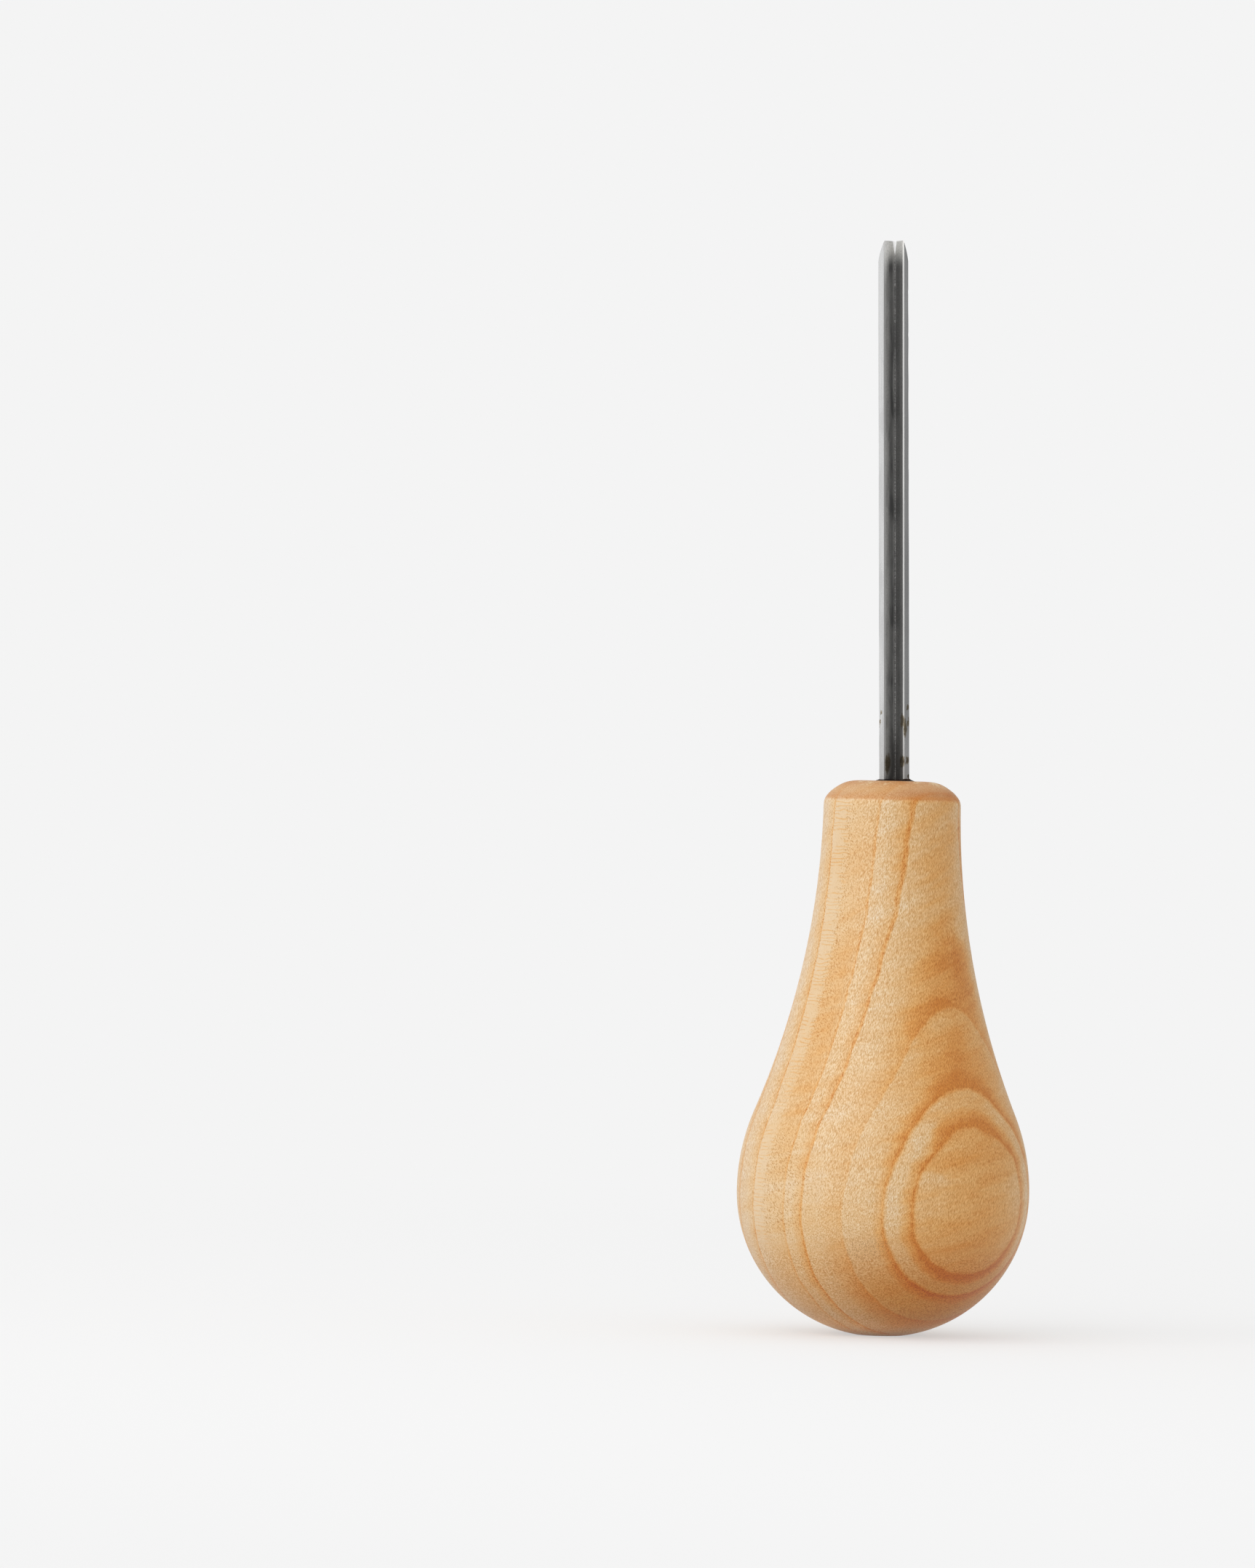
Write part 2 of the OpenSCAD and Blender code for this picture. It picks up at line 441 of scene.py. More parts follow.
def grind_blade():
    """Loops of the section along the blade, from the end of the tang to the cutting edge."""
    draw = random.Random(BLADE_SEED)
    sides = ("right", "left")
    wander = {side: smooth_wander(draw, blade_len, WANDER_STEP) for side in sides}
    nick_end = blade_len - NICK_TO_TIP
    nicks = [(draw.choice(sides), draw.uniform(NICK_FROM, nick_end)) for _ in range(NICK_COUNT)]
    bevel_start = blade_len - BEVEL_LEN
    stretches = (
        (-TANG_LEN, -TANG_TAPER, TANG_STEP),
        (-TANG_TAPER, 0, TANG_STEP / 2),
        (0, bevel_start, LOOP_STEP),
        (bevel_start, blade_len, TIP_STEP),
    )
    places = [z for stretch in stretches for z in spaced(*stretch)] + [blade_len]

    def outer(side, z):
        share = bevel_share(z)
        aside = channel_shift(z) * cos_h * (1 if side == "right" else -1)
        place = wall_outer + (wall_inner + aside + EDGE_LAND - wall_outer) * share
        if z > 0:
            place += WANDER * wander[side](z) * (1 - share)
            for nick_side, nick_z in nicks:
                if nick_side == side:
                    place -= NICK_DEPTH * math.exp(-(((z - nick_z) / NICK_LEN) ** 2)) * (1 - share)
        return place

    loops = []
    for z in places:
        share = bevel_share(z)
        keel_r = KEEL_R * (1 - share) + CHANNEL_R * share
        taper = min(1.0, TANG_END + (1 - TANG_END) * (z + TANG_LEN) / TANG_TAPER)
        flat = section(outer("right", z), outer("left", z), keel_r, channel_shift(z))
        loops.append([Vector((p.x * taper, p.y * taper, z - edge_dip(p, z))) for p in flat])
    return loft("ground_blade", loops)


blade = grind_blade()
blade.matrix_world = blade_place
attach(blade, "root")
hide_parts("blade")

# %% [markdown]
# The glue that holds the tang
#
# The bore is filled with dark adhesive before the tang goes in, and a little of it
# squeezes up round the steel and spreads as a thin uneven film over the eased mouth of the
# bore. Its skin starts on the blade's section inside the bore, climbs the steel, crosses the
# film to its edge on the end face, then turns back into the bore and goes down to the drilled
# point. Each point of the section is paired with a point on the bore's circle by an angle, and
# the channel's points fan out through its open mouth.

# %% Glue mesh
GLUE_SEED = 7
WAVES = 3
MENISCUS_RISE = 0.13 * MM
MENISCUS_LOOPS = 10
RISE_WOBBLE = 0.05 * MM
# Height of a blob on the right of the blade, and the power by which it falls off
FOOT_RISE = 0.14 * MM
FOOT_FALL = 12
# Power that keeps the film thick nearly to its edge
FILM_HOLD = 6
FILM_THICK = 0.06 * MM
FILM_REACH = 0.34 * MM
FILM_WOBBLE = 0.16 * MM
FILM_EDGE = 0.012 * MM
GLUE_CLEAR = 0.05 * MM
# Angle on the bore for each corner of the section, in degrees
CORNER_BEARINGS = (90, -12, -20, -28, -90, -152, -160, -168)


def bearing_of(index):
    """Angle on the bore for one point of the section: it moves steadily from corner to corner."""
    place = (index - CORNER_STEPS / 2) / (CORNER_STEPS + 1)
    corner = math.floor(place)
    share = place - corner
    start = CORNER_BEARINGS[corner % CORNERS]
    end = CORNER_BEARINGS[(corner + 1) % CORNERS]
    step = (end - start + 540) % 360 - 180
    return math.radians(start + step * share)


def pour_glue():
    """Loops from the end of the tang, up the steel, over the meniscus and down the bore."""
    draw = random.Random(GLUE_SEED)
    count = len(plain_section)
    bearings = [bearing_of(i) for i in range(count)]
    ring = [Vector((bore_r * math.cos(a), bore_r * math.sin(a))) for a in bearings]
    phase = [draw.uniform(0, 2 * math.pi) for _ in range(2 * WAVES)]

    def wobble(a, first_phase, first_wave):
        waves = [math.sin((first_wave + k) * a + phase[first_phase + k]) for k in range(WAVES)]
        return sum(waves) / 2

    rises = [
        MENISCUS_RISE + RISE_WOBBLE * wobble(a, 0, 2) + FOOT_RISE * max(0.0, math.cos(a)) ** FOOT_FALL
        for a in bearings
    ]
    reaches = [bore_r + FILM_REACH + FILM_WOBBLE * wobble(a, WAVES, 3) for a in bearings]
    film = [Vector((r * math.cos(a), r * math.sin(a))) for r, a in zip(reaches, bearings)]

    def steel_loop(z, taper=1.0):
        return [Vector((p.x * taper, p.y * taper, z)) for p in plain_section]

    def on_face(flat, height):
        """A point this high above the end face, which is level while the blade leans."""
        return Vector((flat.x, flat.y, height - flat.x * math.tan(blade_lean)))

    def round_loop(radius, z):
        return [Vector((radius * math.cos(a), radius * math.sin(a), z)) for a in bearings]

    loops = [steel_loop(-TANG_LEN, TANG_END), steel_loop(TANG_TAPER - TANG_LEN), steel_loop(-TANG_LEN / 3)]
    for i in range(MENISCUS_LOOPS + 1):
        share = i / MENISCUS_LOOPS
        spread = FILM_THICK * (1 - share**FILM_HOLD) + FILM_EDGE
        loop = []
        for p, edge, rise in zip(plain_section, film, rises):
            loop.append(on_face(p.lerp(edge, share), rise * (1 - share) ** 2 + spread))
        loops.append(loop)
    under = FILM_EDGE / 3
    loops.append([on_face(edge, under) for edge in film])
    loops.append([on_face(q * ((bore_r + 0.8 * MOUTH_EASE) / bore_r), under) for q in ring])
    loops.append(round_loop(bore_r - GLUE_CLEAR, -MOUTH_EASE))
    for z in (-1.4 * MOUTH_EASE, -TANG_LEN / 3, -bore_depth):
        loops.append(round_loop(bore_r, z))
    tip = Vector((0, 0, -bore_depth - drill_point))
    return loft("tang_glue", loops, end_tip=tip, sharp_angle=50.0)


glue = pour_glue()
glue.matrix_world = blade_place
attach(glue, "root")
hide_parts("tang_adhesive")

# %% [markdown]
# Write shaders as sums
#
# A material in Blender is a net of nodes, and building it by hand hides the thought behind
# it. Here a small class wraps a socket, so that a formula can be typed as Python and each
# operator adds its own Math node. Every other node comes from one method, put, which takes
# the node's type, its settings, and what goes into its sockets.


# %% Shader helpers
class Wire:
    """A shader socket that can be used in a Python sum."""

    def __init__(self, net, socket):
        self.net = net
        self.socket = socket

    def __add__(self, other):
        return self.net.maths("ADD", self, other)

    def __sub__(self, other):
        return self.net.maths("SUBTRACT", self, other)

    def __mul__(self, other):
        return self.net.maths("MULTIPLY", self, other)

    def __truediv__(self, other):
        return self.net.maths("DIVIDE", self, other)

    def __pow__(self, other):
        return self.net.maths("POWER", self, other)

    def __radd__(self, other):
        return self.net.maths("ADD", other, self)

    def __rsub__(self, other):
        return self.net.maths("SUBTRACT", other, self)

    def __rmul__(self, other):
        return self.net.maths("MULTIPLY", other, self)


class Net:
    """The nodes of one material or world."""

    # Square of the distance, in half sizes, at which a soft patch has faded out
    spot_reach = 1.6

    def __init__(self, owner):
        owner.use_nodes = True
        self.tree = owner.node_tree
        self.tree.nodes.clear()

    def put(self, kind, settings=None, sockets=None, out=0):
        """Adds a node, sets it up, feeds its sockets and returns one output."""
        node = self.tree.nodes.new(kind)
        for name, value in (settings or {}).items():
            if name == "stops":
                self.fill_ramp(node.color_ramp, value)
            else:
                setattr(node, name, value)
        for name, value in (sockets or {}).items():
            if isinstance(value, Wire):
                self.tree.links.new(value.socket, node.inputs[name])
            else:
                node.inputs[name].default_value = value
        return Wire(self, node.outputs[out]) if len(node.outputs) else None

    def fill_ramp(self, ramp, stops):
        """Gives a colour ramp its stops, as (place, colour)."""
        while len(ramp.elements) < len(stops):
            ramp.elements.new(0.5)
        for element, (place, colour) in zip(ramp.elements, stops):
            element.position = place
            element.color = colour

    def maths(self, operation, a, b=0.0):
        return self.put("ShaderNodeMath", {"operation": operation}, {0: a, 1: b})

    def mix(self, share, a, b):
        """Blends two colours."""
        return self.put("ShaderNodeMix", {"data_type": "RGBA"}, {0: share, 6: a, 7: b}, out=2)

    def step(self, value, low, high):
        """Smooth step: 0 below low, 1 above high."""
        sockets = {"Value": value, "From Min": low, "From Max": high}
        return self.put("ShaderNodeMapRange", {"interpolation_type": "SMOOTHSTEP"}, sockets)

    def noise(self, place, scale, detail=2.0, roughness=0.5):
        """Noise between 0 and 1 at a place."""
        sockets = {"Vector": place, "Scale": scale, "Detail": detail, "Roughness": roughness}
        return self.put("ShaderNodeTexNoise", None, sockets)

    def dot(self, a, b):
        return self.put("ShaderNodeVectorMath", {"operation": "DOT_PRODUCT"}, {0: a, 1: b}, out=1)

    def length(self, a):
        return self.put("ShaderNodeVectorMath", {"operation": "LENGTH"}, {0: a}, out=1)

    def vector(self, x, y, z):
        return self.put("ShaderNodeCombineXYZ", None, {0: x, 1: y, 2: z})

    def axes(self):
        """The object's own coordinates, in millimetres."""
        place = self.put("ShaderNodeTexCoord", out=3)
        sized = self.put("ShaderNodeVectorMath", {"operation": "SCALE"}, {0: place, "Scale": 1 / MM})
        return sized, [self.put("ShaderNodeSeparateXYZ", None, {0: sized}, out=i) for i in range(3)]

    def spot(self, a, b, centre, half):
        """A soft round patch in two coordinates: 1 in the middle, 0 outside."""
        off_a, off_b = (a - centre[0]) / half[0], (b - centre[1]) / half[1]
        return 1 - self.step(off_a * off_a + off_b * off_b, 0.0, self.spot_reach)

    def tint(self, share, colour, by):
        """Multiplies a colour by another."""
        settings = {"data_type": "RGBA", "blend_type": "MULTIPLY"}
        return self.put("ShaderNodeMix", settings, {0: share, 6: colour, 7: by}, out=2)

    def normal(self):
        return self.put("ShaderNodeNewGeometry", out=1)

    def bump(self, height, strength, distance):
        sockets = {"Height": height, "Strength": strength, "Distance": distance}
        return self.put("ShaderNodeBump", None, sockets)

    def ray_kinds(self):
        """1 for rays that the camera sends, and 1 for rays that a shiny surface sends."""
        return [self.put("ShaderNodeLightPath", out=i) for i in (0, 3)]

    def principled(self, sockets):
        return self.put("ShaderNodeBsdfPrincipled", None, sockets)

    def surface(self, shader):
        self.put("ShaderNodeOutputMaterial", None, {"Surface": shader})


def new_material(name):
    return bpy.data.materials.new(name)


print("shader helpers ready")

# %% [markdown]
# Oiled hardwood: the rings
#
# The handle was turned from one board, and its figure is the board's growth rings cut by a
# round surface: ovals where the surface runs along a ring, long lines where it crosses one.
# Painting those curves would look right from one side only. So the wood is solid here: every
# point gets a depth in the tree, and the rings are levels of that depth. The rings face one
# side of the handle, bend a little round the heart of the tree, and sweep outwards near the
# butt.
#
# All the wood's colours lie on one line, from cream through honey to orange brown. So the
# figure is worked out as a single number, the warmth, and one colour ramp turns it into wood.
# Each ring adds three things to it: a slow rise from its start to its end, a band of denser
# wood before its edge, and a thin line on the edge. A colour ramp holds at most 32 stops, so
# the ring with the steepest rise does without a band.

# %% Growth rings
RING_FACING = math.radians(47.4)
RING_BEND = 0.0055
RING_SWEEP_TOP = 26.0
RING_SWEEP = 0.003
RING_MIDDLE = 40.0
RING_LEAN = -0.0186
RING_TWIST = 0.001225
RING_SPAN = 22.0
# Bearing and height of the middle, half width and half height, and depth
RING_SWELL = (41.0, 36.0, 28.0, 9.0, 0.5)
RING_DROP = 0.16
LINE_RISE = 0.3
LINE_DROP = 0.7 * RING_DROP
# Share of a band's width at which it has this share of its warmth
BAND_KNEE, KNEE_WARMTH = 0.65, 0.55
CORE_TONE = 0.24
# Depth of the edge, warmth at the start and the end, width and warmth of the band, line
RINGS = (
    (-16.6, 0.10, 0.14, 1.1, 0.28, 0.6),
    (-13.0, 0.10, 0.20, 1.2, 0.26, 0.6),
    (-7.0, 0.08, 0.20, 1.4, 0.30, 0.5),
    (-1.87, 0.08, 0.12, 2.0, 0.24, 1.0),
    (4.82, 0.10, 0.42, 0.0, 0.0, 0.65),
    (7.53, 0.22, 0.24, 1.4, 0.28, 0.9),
    (12.35, 0.18, 0.18, 2.6, 0.26, 0.2),
    (16.07, 0.20, 0.32, 1.0, 0.26, 0.6),
    (17.92, 0.10, 0.14, 0.9, 0.42, 0.5),
)


def grey(level):
    return (level, level, level, 1.0)


def ring_spot(depth):
    """Place of a depth in the tree along a colour ramp."""
    return (depth + RING_SPAN) / (2 * RING_SPAN)


def ring_stops(shape):
    """Ramp stops of all the rings, from the (distance to the edge, level) pairs of each."""
    return [(ring_spot(ring[0] + away), grey(level)) for ring in RINGS for away, level in shape(ring)]


def ring_tone(ring):
    """The ring's slow rise; the next ring starts behind the edge."""
    later = RINGS[RINGS.index(ring) + 1 :]
    return (0.0, ring[2]), (RING_DROP, later[0][1] if later else CORE_TONE)


def ring_band(ring):
    """Half of the band's warmth comes in its first third, the rest more slowly."""
    width, level = ring[3:5]
    if level == 0:
        return ()
    knee = (-BAND_KNEE * width, KNEE_WARMTH * level)
    return (-width, 0.0), knee, (0.0, level), (RING_DROP, 0.0)


def ring_line(ring):
    return (-LINE_RISE, 0.0), (0.0, ring[5]), (LINE_DROP, 0.0)


print("ramp stops for the bands", len(ring_stops(ring_band)))

# %% [markdown]
# Oiled hardwood: where a point lies
#
# What the wood shows at a point depends on how deep the point lies in the tree and on which
# way the surface faces there. Both are worked out once, and kept under plain names for the
# steps that follow. No ring is perfectly even, so three noises let the depth wander: one slow,
# one that curls with the height, and one fine.

# %% Place in the tree
THROUGH_RINGS = (math.sin(RING_FACING), -math.cos(RING_FACING), 0)
ALONG_RINGS = (math.cos(RING_FACING), math.sin(RING_FACING), 0)
SLOW_WANDER = 0.5
CURL_WANDER = 0.6
FINE_WANDER = 0.2


def find_in_tree(net):
    """Where a point lies in the tree, and how the surface lies there."""
    wood = SimpleNamespace()
    wood.place, (x, y, z) = net.axes()
    wood.x, wood.y, wood.z = x, y, z
    wood.depth = net.dot(wood.place, THROUGH_RINGS)
    wood.side = net.dot(wood.place, ALONG_RINGS)
    wood.bearing = net.maths("ARCTAN2", x, 0 - y) * math.degrees(1)

    slow = net.noise(net.vector(x, y, z * 0.5), 0.07, 1.0) - 0.5
    curl = net.noise(net.vector(x * 0.25, y * 0.25, z), 0.24, 1.0) - 0.5
    fine = net.noise(net.vector(x, y, z * 0.3), 1.1, 2.0) - 0.5
    below = net.maths("MAXIMUM", RING_SWEEP_TOP - z, 0.0)
    tree = wood.depth + wood.side * wood.side * RING_BEND + below * below * RING_SWEEP
    tree = tree + (z - RING_MIDDLE) * (wood.side * RING_TWIST + RING_LEAN)
    swell = net.spot(wood.bearing, z, RING_SWELL[:2], RING_SWELL[2:4]) * RING_SWELL[4]
    wood.tree = tree + slow * SLOW_WANDER + curl * CURL_WANDER + fine * FINE_WANDER + swell

    normal = net.normal()
    wood.ring_side = net.dot(normal, THROUGH_RINGS)
    wood.on_ring = net.maths("ABSOLUTE", wood.ring_side)
    wood.on_ray = net.maths("ABSOLUTE", net.dot(normal, ALONG_RINGS))
    wood.upright = net.put("ShaderNodeSeparateXYZ", None, {0: normal}, out=2)
    wood.end_grain = net.step(wood.upright, 0.3, 0.75)
    return wood


print("rings face", round(math.degrees(RING_FACING)), "degrees right of the front")

# %% [markdown]
# Oiled hardwood: the rays
#
# The tree's rays are thin plates that stand across the rings. Cut on end they are a fine
# stipple of short dashes. A dash is noise that is squeezed more in one direction than in
# another: it leans on most faces, lies level where the face runs along the rays, and is a
# round dot underneath. Where the surface lies along the rays, just behind one ring edge, they
# become a pale strip with groups of thin ribs.

# %% Rays
# About how many marks lie in a millimetre along the rings, through them and up the handle
LEANING_MARKS = (11.0, 8.0, 2.6)
LEVEL_MARKS = (6.5, 4.2, 4.8)
ROUND_MARKS = (5.0, 5.0, 5.0)
MARK_LEAN = 0.26
MARK_TILT = 0.5
# Depth in the tree at which the pale strip starts, and over which it ends
STRIP_START = (-1.75, -1.5)
STRIP_END = (0.0, 1.9)
RIB_WAVES = 12.0
RIB_BOW = 12.0


def draw_rays(net, wood):
    """Adds the dark and pale dashes of the stipple, and the pale strip with its ribs."""
    z, depth, side, tree = wood.z, wood.depth, wood.side, wood.tree

    def marks(along, through, up, counts):
        place = net.vector(along * counts[0], through * counts[1], up * counts[2])
        return net.noise(place, 1.0, 2.0, 0.6)

    leaning = marks(side - z * MARK_LEAN, depth, z, LEANING_MARKS)
    level = marks(side, depth, z + depth * MARK_TILT, LEVEL_MARKS)
    dots = marks(side, depth, z, ROUND_MARKS)
    wood.turned = net.step(wood.on_ray, 0.9, 0.985)
    dash = leaning + (level - leaning) * wood.turned
    dash = dash + (dots - dash) * net.step(wood.upright * -1, 0.28, 0.45)
    wood.dark_dash = net.step(dash - wood.turned * 0.03, 0.44, 0.70)
    wood.pale_dash = 1 - net.step(dash, 0.30, 0.52)

    strip = net.step(tree, *STRIP_START) * (1 - net.step(tree + (dash - 0.5) * 3.0, *STRIP_END))
    wood.strip = strip * net.step(wood.on_ray, 0.88, 0.97)
    bow = net.noise(net.vector(depth * 0.35, side * 0.35, z * 0.9), 1.0, 1.0)
    groups = net.noise(net.vector(depth * 0.6, side * 0.6, z * 0.7), 1.0, 1.0)
    ribs = net.step(net.maths("SINE", z * RIB_WAVES + bow * RIB_BOW), 0.3, 1.0)
    wood.ribs = ribs * net.step(groups, 0.36, 0.56)


print(f"ribs {2 * math.pi / RIB_WAVES:.2f} mm apart")

# %% [markdown]
# Oiled hardwood: clouds of figure
#
# Between the rings the wood isn't even: curly fibres show as soft clouds and as streaks that
# climb round the handle. The clouds are placed one by one, each by its bearing and its height,
# and a slow noise bends their outlines so that none is a plain oval. Behind one ring edge the
# wood glows, and at the top of the neck it is paler.

# %% Clouds
# Bearing and height of the middle, half width and half height, and warmth
CLOUDS = (
    (54.0, 50.5, 22.0, 3.5, 0.06),
    (33.0, 36.0, 14.0, 2.5, 0.12),
    (23.0, 41.0, 8.0, 2.5, 0.14),
    (19.5, 26.0, 6.0, 2.2, -0.25),
    (3.0, 56.0, 16.0, 5.0, -0.08),
    (36.0, 40.5, 12.0, 1.6, -0.07),
    (34.0, 23.0, 12.0, 1.5, 0.08),
    (24.0, 21.0, 8.0, 1.5, -0.10),
    (24.0, 62.5, 22.0, 1.8, 0.10),
    (66.0, 48.0, 14.0, 5.0, 0.18),
    (-28.0, 7.5, 10.0, 3.0, 0.08),
    (52.0, 53.0, 12.0, 2.5, 0.10),
    (36.0, 43.5, 10.0, 1.6, 0.12),
    (22.0, 28.5, 9.0, 2.2, 0.08),
    (-52.0, 42.0, 16.0, 8.0, 0.06),
    (-46.0, 17.0, 18.0, 6.0, -0.17),
    (-60.0, 64.0, 10.0, 6.0, -0.08),
    (52.0, 28.5, 8.0, 2.5, 0.12),
    (4.0, 18.0, 9.0, 2.5, -0.10),
    (66.0, 68.0, 10.0, 4.0, 0.12),
    (46.0, 38.0, 10.0, 3.0, 0.10),
    (-8.0, 8.0, 14.0, 3.0, -0.09),
    (14.0, 59.5, 26.0, 6.0, -0.07),
    (-30.0, 55.0, 16.0, 4.0, -0.10),
)
TURN_DRIFT = 20
HEIGHT_DRIFT = 4
# Depth in the tree at which the glow starts and ends, its middle height and its fade above
# and below that
GLOW_START = (0.6, 1.4)
GLOW_END = (3.2, 5.2)
GLOW_MIDDLE = 44.0
GLOW_FADE = (4.0, 24.0)
PALE_NECK = (64.0, 69.5)


def draw_clouds(net, wood):
    """Adds the figure between the rings, as warmth."""
    x, y, z, tree = wood.x, wood.y, wood.z, wood.tree
    drift = net.noise(net.vector(x * 0.5, y * 0.5, z), 0.35, 2.0) - 0.5
    climb = z - wood.bearing * 0.07
    streaks = net.noise(net.vector(x * 0.16, y * 0.16, climb), 0.55, 3.0, 0.6) - 0.5
    wood.turn = wood.bearing + drift * TURN_DRIFT
    wood.height = z + drift * HEIGHT_DRIFT
    figure = streaks * 0.6
    for turn, height, half_turn, half_height, strength in CLOUDS:
        cloud = net.spot(wood.turn, wood.height, (turn, height), (half_turn, half_height))
        figure = figure + cloud * strength
    glow = net.step(tree, *GLOW_START) * (1 - net.step(tree, *GLOW_END))
    glow = glow * (1 - net.step(net.maths("ABSOLUTE", z - GLOW_MIDDLE), *GLOW_FADE))
    wood.figure = figure + glow * (0.18 + wood.dark_dash * 0.15) - net.step(z, *PALE_NECK) * 0.12


print("clouds", len(CLOUDS))

# %% [markdown]
# Oiled hardwood: from warmth to colour
#
# Where the surface runs along a ring the wood glows warmer. The underside is painted darker and
# warmer, most on the side that the rings face, as painted shade, and a tint does that without
# hiding the rings.
# The butt is painted paler again, as painted light that stands in for light from below. The
# stipple goes over all of it, and is fainter on the pale strip and on the end grain.

# %% Wood colours
WOOD_COLOURS = (
    (0.0, (0.84, 0.615, 0.37, 1)),
    (0.2, (0.83, 0.56, 0.285, 1)),
    (0.4, (0.815, 0.50, 0.215, 1)),
    (0.6, (0.80, 0.425, 0.134, 1)),
    (0.8, (0.76, 0.335, 0.072, 1)),
    (1.0, (0.67, 0.235, 0.029, 1)),
)
DASH_DARK = (0.74, 0.58, 0.36, 1)
DASH_PALE = (1.12, 1.30, 1.70, 1)
WOOD_FLECK = (0.84, 0.64, 0.42, 1)
END_GRAIN = (0.88, 0.84, 0.86, 1)
# Painted shade for faces that look down
UNDERSIDE_SHADE = (0.80, 0.52, 0.215, 1)
# Painted light on the butt, and the heights over which it fades out
BUTT_PAINTED_LIGHT = (1.36, 1.32, 1.28, 1)
BUTT_LIGHT_HEIGHT = (0.8, 3.2)


def wood_colour(net, wood):
    """Adds up the warmth, turns it into a colour, and lays tints and stipple over it."""
    strip, end_grain, dark_dash = wood.strip, wood.end_grain, wood.dark_dash
    ring_place = ring_spot(wood.tree)
    tone, band, line = [
        net.put("ShaderNodeValToRGB", {"stops": ring_stops(shape)}, {0: ring_place})
        for shape in (ring_tone, ring_band, ring_line)
    ]
    slant = net.step(net.maths("ABSOLUTE", wood.upright), 0.05, 0.35)
    # Painted shade: faces that look down get a warmer band and a darker, warmer tint, most on the side
    # that the rings face
    under = net.step(wood.upright * -1, 0.15, 0.7)
    lower = under * (0.3 + net.step(wood.ring_side, 0.15, 0.6) * 0.7)
    figured = tone + band * (1 + lower * 0.8) + line * (0.28 + dark_dash * 0.5)
    warmth = figured * (1 - end_grain * 0.7) + wood.figure
    warmth = warmth + wood.on_ring**6 * 0.42 + slant * net.step(wood.on_ring, 0.6, 0.85) * 0.15
    warmth = warmth + strip * (wood.ribs * 0.36 - 0.05) + end_grain * 0.4

    colour = net.put("ShaderNodeValToRGB", {"stops": WOOD_COLOURS}, {0: warmth})
    colour = net.mix(strip * (1 - wood.ribs) * 0.3, colour, WOOD_FLECK)
    # Painted shade under the handle
    colour = net.tint(lower, colour, UNDERSIDE_SHADE)
    # Painted light: the butt is made paler, standing in for light from below
    colour = net.tint(1 - net.step(wood.z, *BUTT_LIGHT_HEIGHT), colour, BUTT_PAINTED_LIGHT)
    calm = 1 - end_grain * 0.3
    colour = net.tint(dark_dash * (1 - strip * 0.7) * calm, colour, DASH_DARK)
    colour = net.tint(dark_dash * wood.turned * (1 - strip) * 0.45, colour, DASH_DARK)
    colour = net.tint(wood.pale_dash * (1 - strip) * (1 - wood.turned * 0.6) * calm, colour, DASH_PALE)
    return net.tint(end_grain, colour, END_GRAIN)


print("wood colours", len(WOOD_COLOURS))

# %% [markdown]
# Oiled hardwood: end face, shoulder and marks
#
# The end face drank oil unevenly, so it is darker, with groups of dry pale flecks. Low on the
# shoulder the wood is painted darker, more so on the right, and a dark line is painted along the
# crease, both as painted shade.
# Handling left a grey smudge low on the front, and the glue stained the end grain round the
# blade. Each of these is a mask and a colour, laid over the wood one after the other.

# %% Marks on the wood
TOP_OILED = (0.88, 0.72, 0.56, 1)
TOP_DRY = (0.82, 0.63, 0.36, 1)
# Painted shade low on the shoulder
SHOULDER_SHADE = (0.84, 0.67, 0.55, 1)
STAIN = (0.045, 0.022, 0.022, 1)
DIRT = (0.30, 0.20, 0.12, 1)
CREASE_Z = 70.4
CREASE_HALF_W = (0.1, 0.45)
LOW_RISE = 1.4
# Bearing and height of the middle, half width and half height
SMUDGE = (-1.6, 12.4, 8.0, 1.8)
# Distance from the blade over which the stain fades, and depth under the end face
STAIN_FADE = (2.3, 3.6)
STAIN_DEPTH = (-0.7, -0.1)


def mark_wood(net, wood, colour):
    """Lays the end face, the smudge, the painted shade low on the shoulder and along the crease, and the
    glue's stain over the wood.
    """
    place, x, z = wood.place, wood.x, wood.z
    top = net.step(wood.upright, 0.75, 0.97)
    flecks = net.noise(place, 3.0, 3.0, 0.65) + net.noise(place, 0.45, 1.0) * 0.7
    colour = net.tint(top, colour, TOP_OILED)
    colour = net.mix(net.step(flecks, 0.84, 1.02) * top * 0.7, colour, TOP_DRY)
    smudge = net.spot(wood.turn, wood.height, SMUDGE[:2], SMUDGE[2:])
    colour = net.mix(smudge * wood.dark_dash * 0.45, colour, DIRT)

    wood.mottle = net.noise(place, 2.2, 3.0, 0.6)
    # Painted shade: a dark line along the crease, and darker wood low on the shoulder, more on the right
    from_crease = z - CREASE_Z
    ragged = net.maths("ABSOLUTE", from_crease + (wood.mottle - 0.5) * 0.3)
    crease = 1 - net.step(ragged, *CREASE_HALF_W)
    right = net.step(x, -1.0, 3.0)
    low = 1 - net.step(from_crease - right * 0.6, 0.0, LOW_RISE)
    low = low * net.step(from_crease, -0.3, 0.0)
    colour = net.tint(low * (0.7 + right * 0.3), colour, SHOULDER_SHADE)
    colour = net.mix(crease * (0.15 + right * 0.15), colour, WOOD_COLOURS[-1][1])

    from_blade = net.length(net.vector(x - blade_offset / MM, wood.y, 0.0))
    from_blade = from_blade + (net.noise(place, 0.9, 3.0) - 0.5) * 2.2
    stain = (1 - net.step(from_blade, *STAIN_FADE)) * net.step(z - handle_len / MM, *STAIN_DEPTH)
    return net.mix(stain * 0.85, colour, STAIN)


